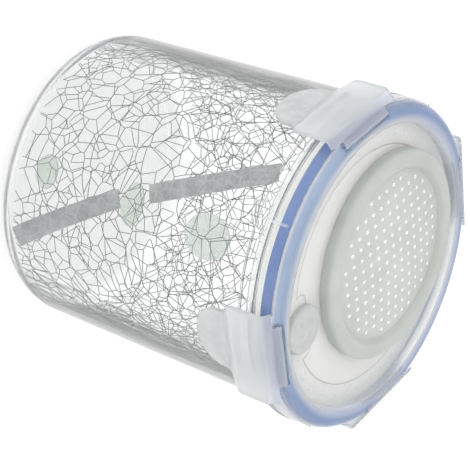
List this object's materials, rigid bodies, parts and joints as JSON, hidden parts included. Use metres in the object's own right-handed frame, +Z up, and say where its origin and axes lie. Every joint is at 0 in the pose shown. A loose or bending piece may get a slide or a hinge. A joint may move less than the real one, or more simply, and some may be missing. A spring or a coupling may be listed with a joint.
{
  "type": "insect keeping jar with clip lid",
  "caption": "Round clear jar with a climbing net round the inside wall and a clip-on lid with gasket, perforated vent and feeding plug.",
  "frame": {"origin": "centre of the base's underside, on the surface that the jar stands on", "axes": "+Z up along the jar's axis; the clips face 45, 135, 225 and 315 degrees from +X; the vent is towards 135 degrees and the feeding plug towards 315"},
  "size_m": [0.1168, 0.1168, 0.1298],
  "materials": {
    "clear_jar": "clear glossy styrene, smooth",
    "clear_lid": "clear glossy plastic, panel finely frosted round a smooth middle zone",
    "blue_gasket": "satin blue silicone",
    "milky_clip": "milky translucent polypropylene, satin",
    "frosted_vent": "frosted greenish white soft plastic, pierced",
    "grey_plug": "matt translucent grey silicone",
    "grey_net": "thin grey crackle-patterned strands",
    "grey_tape": "grey felted tape",
    "clear_pad": "clear faintly green gel"
  },
  "bodies": {
    "jar": {"jar": "clear_jar", "climbing_net": "grey_net", "seam_tape_lower": "grey_tape", "seam_tape_upper": "grey_tape", "net_pads": "clear_pad"},
    "lid": {"lid": "clear_lid", "gasket": "blue_gasket", "vent_cap": "frosted_vent"},
    "feeding_plug": {"feeding_plug": "grey_plug"},
    "clip_1": {"clip_1": "milky_clip"},
    "clip_2": {"clip_2": "milky_clip"},
    "clip_3": {"clip_3": "milky_clip"},
    "clip_4": {"clip_4": "milky_clip"}
  },
  "joints": [
    {"name": "lid_lift", "type": "slide", "parent": "jar", "child": "lid", "axis": [0, 0, 1], "range_m": [0, 0.014]},
    {"name": "clip_1_hinge", "type": "hinge", "parent": "lid", "child": "clip_1", "pos_m": [0.03854, 0.03854, 0.1276], "axis": [0.7071, -0.7071, 0], "range_deg": [0, 105]},
    {"name": "clip_2_hinge", "type": "hinge", "parent": "lid", "child": "clip_2", "pos_m": [-0.03854, 0.03854, 0.1276], "axis": [0.7071, 0.7071, 0], "range_deg": [0, 105]},
    {"name": "clip_3_hinge", "type": "hinge", "parent": "lid", "child": "clip_3", "pos_m": [-0.03854, -0.03854, 0.1276], "axis": [-0.7071, 0.7071, 0], "range_deg": [0, 105]},
    {"name": "clip_4_hinge", "type": "hinge", "parent": "lid", "child": "clip_4", "pos_m": [0.03854, -0.03854, 0.1276], "axis": [-0.7071, -0.7071, 0], "range_deg": [0, 105]},
    {"name": "plug_pull", "type": "slide", "parent": "lid", "child": "feeding_plug", "axis": [0, 0, 1], "range_m": [0, 0.012]}
  ],
  "couplings": [
    {"joint": "clip_1_hinge", "follows": "lid_lift", "rad_per_m": 130},
    {"joint": "clip_2_hinge", "follows": "lid_lift", "rad_per_m": 130},
    {"joint": "clip_3_hinge", "follows": "lid_lift", "rad_per_m": 130},
    {"joint": "clip_4_hinge", "follows": "lid_lift", "rad_per_m": 130}
  ]
}
